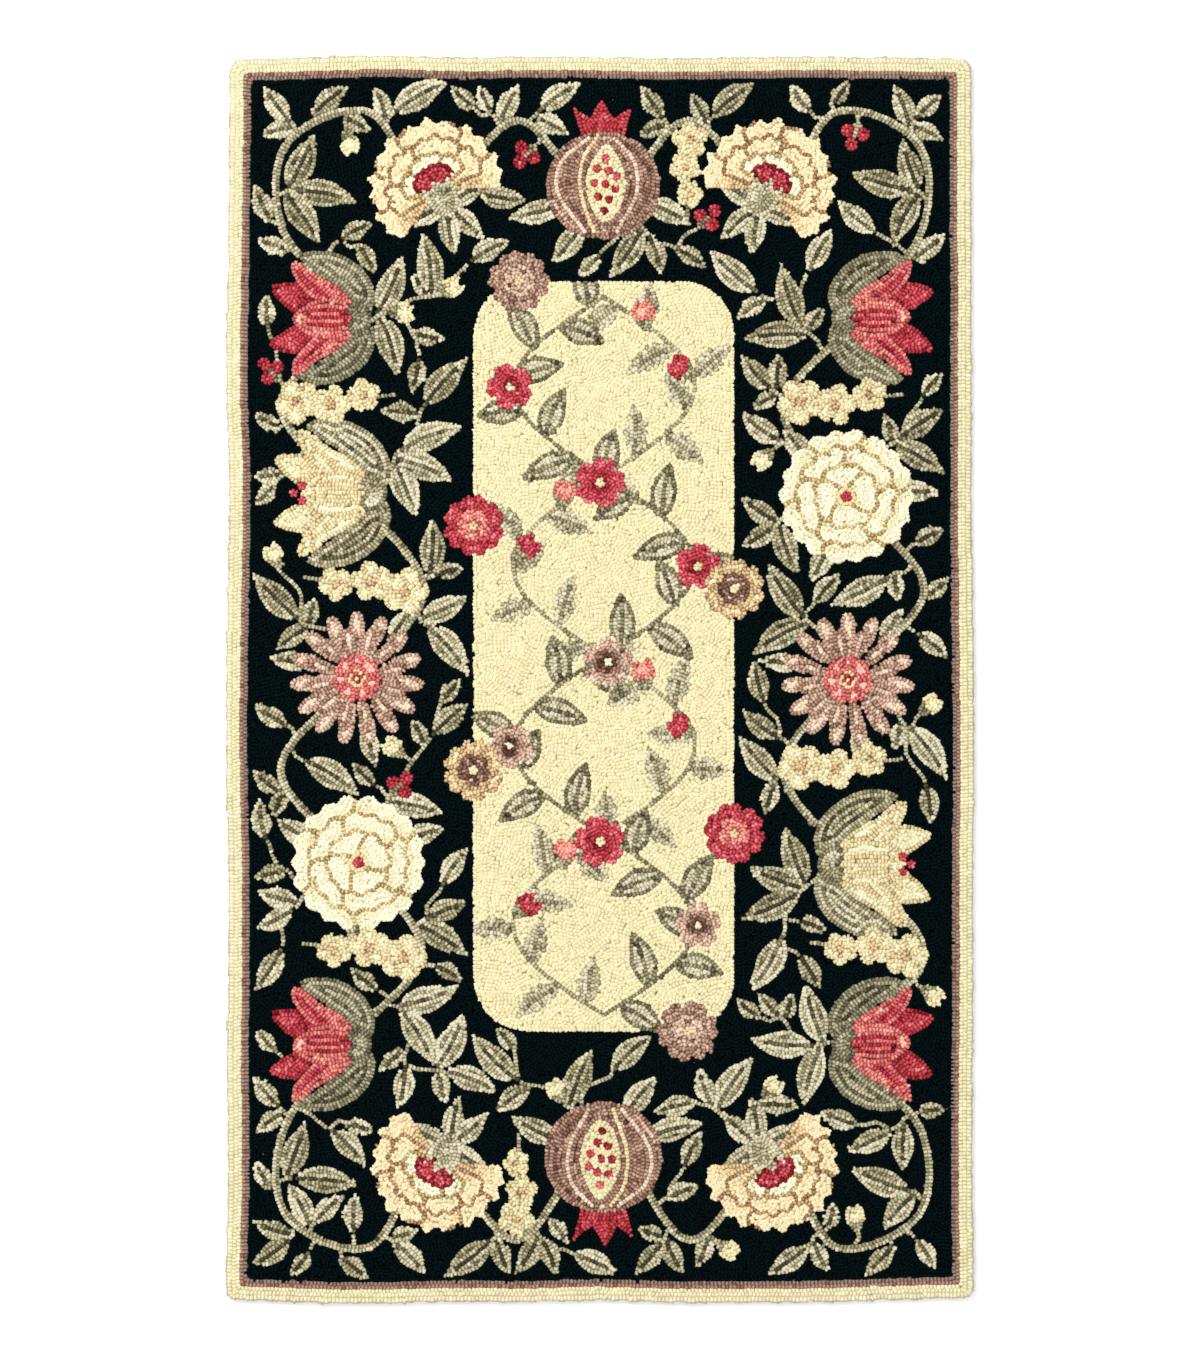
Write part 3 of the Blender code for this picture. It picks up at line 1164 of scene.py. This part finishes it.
def strip_mesh(name, points, colour_with_painted_shade):
    """One mesh of many loops, with its yarn colours, painted shade and highlight included, and the maps that
    its finish reads.
    """
    template, faces, _ = loop_template()
    count, each = points.shape[:2]
    corners = (faces + (np.arange(count) * each)[:, None, None]).ravel()
    mesh = bpy.data.meshes.new(name)
    mesh.vertices.add(count * each)
    mesh.vertices.foreach_set("co", (points * MM).ravel())
    mesh.loops.add(len(corners))
    mesh.loops.foreach_set("vertex_index", corners.astype(np.int32))
    mesh.polygons.add(len(corners) // 3)
    mesh.polygons.foreach_set("loop_start", np.arange(0, len(corners), 3, dtype=np.int32))
    mesh.polygons.foreach_set("use_smooth", np.ones(len(corners) // 3, bool))
    mesh.update(calc_edges=True)
    # The loops' colours: the yarn's own, with painted shade deep in the pile and a painted highlight at each
    # tip
    rgba = np.concatenate([colour_with_painted_shade, np.ones((count, each, 1))], -1)
    yarn_with_painted_shade = mesh.color_attributes.new("yarn_with_painted_shade", "FLOAT_COLOR", "POINT")
    yarn_with_painted_shade.data.foreach_set("color", rgba.ravel().astype(np.float32))
    flat = points[..., :2]
    strand = template[:, :2] + flat.mean(1, keepdims=True) * TWIST_SHIFT
    for title, values in (("OFBake", bake_map(flat)), ("strand", strand)):
        layer = mesh.uv_layers.new(name=title)
        layer.data.foreach_set("uv", values.reshape(-1, 2)[corners].ravel().astype(np.float32))
    mesh.validate()
    return mesh


def add(name, data):
    """A new object in the scene."""
    made = bpy.data.objects.new(name, data)
    bpy.context.scene.collection.objects.link(made)
    return made


def pile_strips(canvas, loops, material):
    """The pile as strips from left to right, with about as many loops in each."""
    points, colour_with_painted_shade = pile(canvas, loops)
    across = points[:, :, 0].mean(1)
    edges = np.quantile(across, np.linspace(0, 1, STRIPS + 1)[1:-1])
    strip_of = np.searchsorted(edges, across)
    strips = []
    for k in range(STRIPS):
        name, mine = f"pile_{k + 1}", strip_of == k
        mesh = strip_mesh(name, points[mine], colour_with_painted_shade[mine])
        mesh.materials.append(material)
        strip = add(name, mesh)
        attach(strip, "root")
        strips.append(strip)
    return strips


# ---- The foundation cloth ----

# In millimetres: how high the cloth's top lies, how far its edge is in from the rim, and how wide
# and how thick its turned hem is below
CLOTH_TOP = 3.6
CLOTH_IN = 2.2
HEM_WIDTH = 32.0
HEM_THICK = 0.7


def inset_outline(outline, inset):
    """The outline moved inwards, point by point along its own normals."""
    ahead = np.roll(outline, -1, 0) - outline
    behind = outline - np.roll(outline, 1, 0)
    run = ahead / np.hypot(*ahead.T)[:, None] + behind / np.hypot(*behind.T)[:, None]
    run /= np.hypot(*run.T)[:, None]
    return outline + np.stack([-run[:, 1], run[:, 0]], -1) * inset


def foundation(outline, material):
    """The cloth that the loops are hooked through, with its hem turned under."""
    rim = inset_outline(outline, CLOTH_IN)
    half = np.abs(rim).max(0)
    hem = rim * (half - HEM_WIDTH) / half
    # Rings from the middle of the top out over the rim, under the hem and in to the middle again
    levels = (
        (rim * 0.2, CLOTH_TOP),
        (inset_outline(rim, 1.0), CLOTH_TOP),
        (rim, CLOTH_TOP - 1.2),
        (rim, 1.0),
        (inset_outline(rim, 0.9), 0.0),
        (hem, 0.0),
        (hem * 0.998, HEM_THICK),
        (hem * 0.2, HEM_THICK),
    )
    points = [(x * MM, y * MM, z * MM) for loop, z in levels for x, y in loop]
    around = len(rim)
    faces = []
    for level in range(len(levels) - 1):
        for i in range(around):
            j = (i + 1) % around
            a, b = level * around, (level + 1) * around
            faces.append((a + j, a + i, b + i, b + j))
    faces.append(tuple(range(around)))
    faces.append(tuple(reversed(range((len(levels) - 1) * around, len(levels) * around))))
    mesh = bpy.data.meshes.new("foundation")
    mesh.from_pydata(points, [], faces)
    mesh.shade_smooth()
    mesh.set_sharp_from_angle(angle=0.6)
    mesh.materials.append(material)
    return add("foundation", mesh)


# ---- Finishes ----

# The scales of the wool's fibres and worn patches, how its plies turn along and across a loop,
# and of the cotton's slubs and threads
FIBRE_SCALE = 1500.0
WEAR_SCALE = 9.0
PLY_TWIST = (3.6, 2.2)
SLUB_SCALE = 260.0
THREADS = 4200.0


class Value:
    """A shader value that sums can be written with: each operator adds its Math node."""

    def __init__(self, shader, socket):
        self.shader = shader
        self.socket = socket

    def _math(self, operation, first, second):
        return self.shader.node("ShaderNodeMath", {"operation": operation}, {0: first, 1: second})

    def __add__(self, other):
        return self._math("ADD", self, other)

    def __radd__(self, other):
        return self._math("ADD", other, self)

    def __mul__(self, other):
        return self._math("MULTIPLY", self, other)

    def __rmul__(self, other):
        return self._math("MULTIPLY", other, self)


class Shader:
    """One material's node tree, and its Principled BSDF as `finish`."""

    def __init__(self, name):
        self.material = bpy.data.materials.new(name)
        self.material.use_nodes = True
        self.nodes = self.material.node_tree.nodes
        self.links = self.material.node_tree.links
        self.finish = self.nodes["Principled BSDF"]

    def node(self, kind, settings=None, sockets=None, output=0):
        made = self.nodes.new(kind)
        for key, value in (settings or {}).items():
            setattr(made, key, value)
        self.feed(made, sockets or {})
        return Value(self, made.outputs[output])

    def feed(self, made, sockets):
        for key, value in sockets.items():
            if isinstance(value, Value):
                self.links.new(value.socket, made.inputs[key])
            else:
                made.inputs[key].default_value = value

    def dress(self, **sockets):
        self.feed(self.finish, {key.replace("_", " "): value for key, value in sockets.items()})
        return self.material

    def sine(self, phase):
        return self.node("ShaderNodeMath", {"operation": "SINE"}, {0: phase})

    def noise(self, where, scale, detail=2.0):
        return self.node("ShaderNodeTexNoise", {}, {"Vector": where, "Scale": scale, "Detail": detail})

    def scaled(self, colour, amount):
        return self.node("ShaderNodeVectorMath", {"operation": "SCALE"}, {0: colour, "Scale": amount})


def wool_finish():
    """Heathered rug wool: the yarn's colour with its painted shade and highlight, fine fibres, and the twist
    of its plies, painted a little darker in the grooves between them.
    """
    shader = Shader("wool_loops")
    yarn_with_painted_shade = shader.node("ShaderNodeVertexColor", {"layer_name": "yarn_with_painted_shade"})
    place = shader.node("ShaderNodeTexCoord", output="Object")
    strand = shader.node("ShaderNodeUVMap", {"uv_map": "strand"})
    along = shader.node("ShaderNodeSeparateXYZ", {}, {0: strand}, output="X")
    across = shader.node("ShaderNodeSeparateXYZ", {}, {0: strand}, output="Y")
    fibres = shader.noise(place, FIBRE_SCALE, 3.0)
    wear = shader.noise(place, WEAR_SCALE)
    plies = shader.sine(along * PLY_TWIST[0] + across * PLY_TWIST[1])
    height = plies * 0.5 + fibres
    bump = shader.node("ShaderNodeBump", {}, {"Strength": 0.35, "Distance": 0.0006, "Height": height})
    # Ply troughs painted a little darker: painted shade in the grooves of the twist; fibres and wear are the
    # wool's own tone
    tint_and_ply_shade = 0.90 + fibres * 0.18 + wear * 0.08 + plies * 0.03
    return shader.dress(
        Base_Color=shader.scaled(yarn_with_painted_shade, tint_and_ply_shade),
        Roughness=0.86 + fibres * 0.12,
        Normal=bump,
        Specular_IOR_Level=0.04,
    )


def cotton_finish():
    """Unbleached cotton in plain weave, its threads a little uneven, with painted shade in the hollows
    between them.
    """
    shader = Shader("cotton_cloth")
    place = shader.node("ShaderNodeTexCoord", output="Object")
    x = shader.node("ShaderNodeSeparateXYZ", {}, {0: place}, output="X")
    y = shader.node("ShaderNodeSeparateXYZ", {}, {0: place}, output="Y")
    weave = shader.sine(x * THREADS) * shader.sine(y * THREADS)
    slubs = shader.noise(place, SLUB_SCALE, 3.0)
    bump = shader.node("ShaderNodeBump", {}, {"Strength": 0.5, "Distance": 0.0004, "Height": weave + slubs})
    # Lighter on the weave's crests and darker in its hollows: painted shade between the threads; the slubs
    # are the cotton's own tone
    colour = shader.node(
        "ShaderNodeMix",
        {"data_type": "RGBA"},
        {"Factor": weave * 0.25 + slubs, "A": (0.42, 0.34, 0.21, 1), "B": (0.66, 0.57, 0.40, 1)},
        output="Result",
    )
    return shader.dress(Base_Color=colour, Roughness=0.8 + slubs * 0.15, Normal=bump, Specular_IOR_Level=0.3)


def floor_finish():
    """A plain pale floor."""
    shader = Shader("pale_floor")
    place = shader.node("ShaderNodeTexCoord", output="Object")
    mottle = shader.noise(place, 6.0)
    return shader.dress(Base_Color=(0.92, 0.92, 0.92, 1), Roughness=0.7 + mottle * 0.1)


# ---- The room ----

# The height of the view in metres at the pile's top, and how far up the camera is
VIEW_HEIGHT = 1.6763
CAMERA_UP = 6.0
SENSOR = 24.0

FLOOR_REACH = 12.0
FLOOR_DROP = 0.0003
SKY_STRENGTH = 1.14
KEY_PLACE = (-2.6, 2.4, 3.4)
KEY_SIZE = 1.6
KEY_POWER = 105.0


def camera():
    """Straight above the rug, far enough up that the view is nearly flat."""
    data = bpy.data.cameras.new("camera")
    data.sensor_fit = "VERTICAL"
    data.sensor_height = SENSOR
    data.lens = SENSOR * (CAMERA_UP - PILE_TOP * MM) / VIEW_HEIGHT
    data.clip_end = 50
    eye = add("camera", data)
    eye.location = (0, 0, CAMERA_UP)
    bpy.context.scene.camera = eye


def floor():
    """A wide flat floor just below the rug."""
    square = ((-1, -1), (1, -1), (1, 1), (-1, 1))
    corners = [(x * FLOOR_REACH, y * FLOOR_REACH, -FLOOR_DROP) for x, y in square]
    mesh = bpy.data.meshes.new("floor")
    mesh.from_pydata(corners, [], [(0, 1, 2, 3)])
    mesh.materials.append(floor_finish())
    add("floor", mesh)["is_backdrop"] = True


def lights():
    """A bright even sky, and one soft lamp from the far left."""
    world = bpy.data.worlds.new("studio")
    world.use_nodes = True
    sky = world.node_tree.nodes["Background"].inputs
    sky["Color"].default_value = (1, 1, 1, 1)
    sky["Strength"].default_value = SKY_STRENGTH
    bpy.context.scene.world = world
    data = bpy.data.lights.new("key", "AREA")
    data.shape = "DISK"
    data.size = KEY_SIZE
    data.energy = KEY_POWER
    lamp = add("key", data)
    lamp.location = KEY_PLACE
    lamp.rotation_euler = (-Vector(KEY_PLACE)).to_track_quat("-Z", "Y").to_euler()
    bpy.context.scene.view_settings.view_transform = "Standard"


# ---- The rug ----

# How high the solid's widest outline lies, in millimetres
RIM_HEIGHT = 3.6
# How far in from it the pile ends, as the loops there lean out a little
RIM_IN = 1.0
# The foundation cloth laid out flat, in metres
CLOTH_FLAT = (0.9144, 1.531)


def outline_of(node):
    """The rug's outline, anticlockwise in millimetres, where its solid is widest."""
    points = np.array([v.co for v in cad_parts[node].data.vertices]) / MM
    widest = np.abs(points[:, 2] - RIM_HEIGHT) < 0.05
    flat = np.unique(points[widest, :2].round(2), axis=0)
    squat = CLOTH_FLAT[0] / CLOTH_FLAT[1]
    return flat[np.argsort(np.arctan2(flat[:, 1] * squat, flat[:, 0]))]


def rug():
    """The pile and its foundation, in the place of the plain solid."""
    outline = inset_outline(outline_of("hooked_rug"), RIM_IN)
    canvas = Canvas(outline)
    draw_rug(canvas, outline)
    strips = pile_strips(canvas, hook(canvas), wool_finish())
    cloth = foundation(outline, cotton_finish())
    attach(cloth, "root")
    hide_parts("hooked_rug")


camera()
floor()
lights()
rug()
boxes = {"cad": cad_box, "visual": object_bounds()}
{name: [list(corner) for corner in box] for name, box in boxes.items()}
